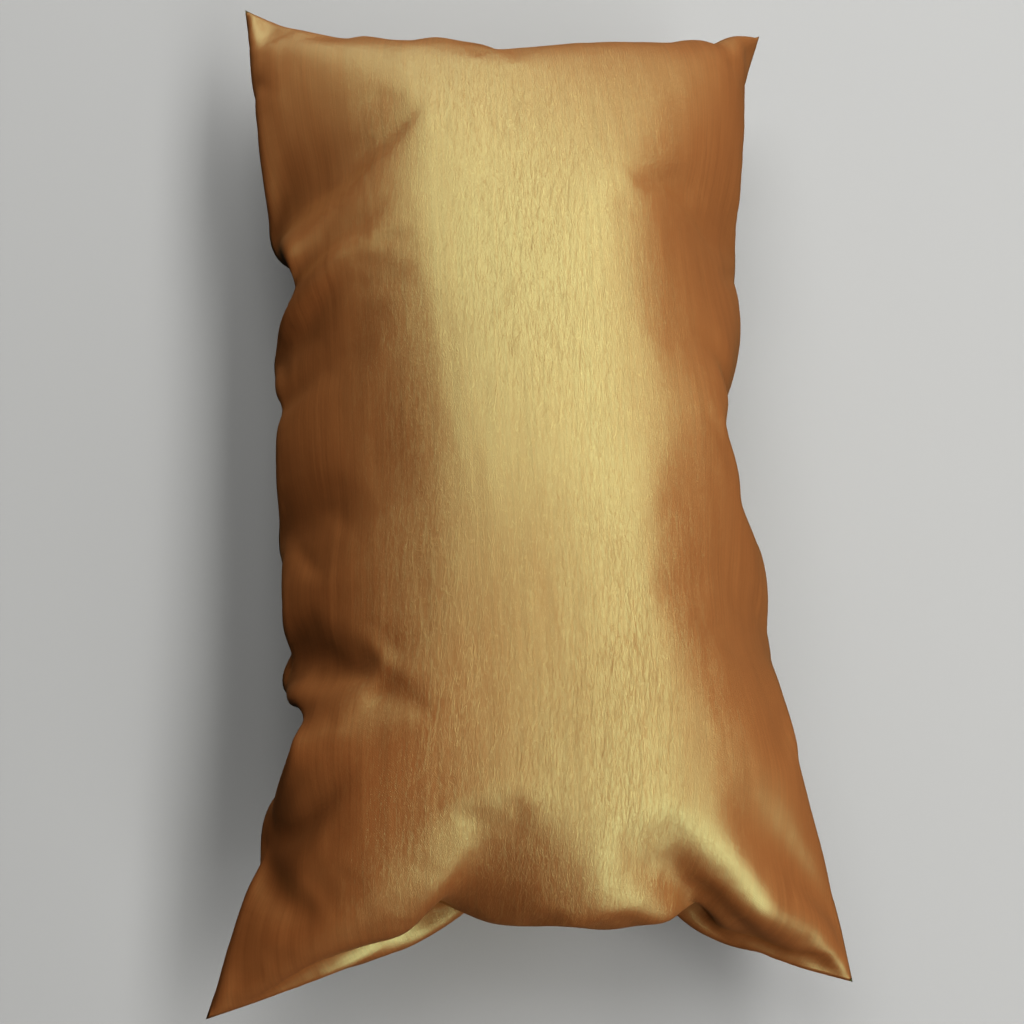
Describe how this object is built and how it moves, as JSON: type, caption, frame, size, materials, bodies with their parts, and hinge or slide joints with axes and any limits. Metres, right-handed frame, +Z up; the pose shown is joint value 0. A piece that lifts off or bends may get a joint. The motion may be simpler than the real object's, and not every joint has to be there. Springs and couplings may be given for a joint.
{
  "type": "cushion cover",
  "caption": "Filled rectangular lumbar cushion cover in gold satin, plump crown, drawn-in sides with gathers and pointed ears, lying on its back.",
  "frame": {"origin": "middle of the floor print, on the surface that the back panel lies on", "axes": "+Z up out of the front panel, +Y along the length towards the far end, +X across the width"},
  "size_m": [0.277, 0.484, 0.1443],
  "materials": {
    "gold_satin": "two-tone shot satin, gold on rust, with fine crinkles along the length"
  },
  "bodies": {
    "root": {"cushion_cover": "gold_satin"}
  },
  "joints": []
}
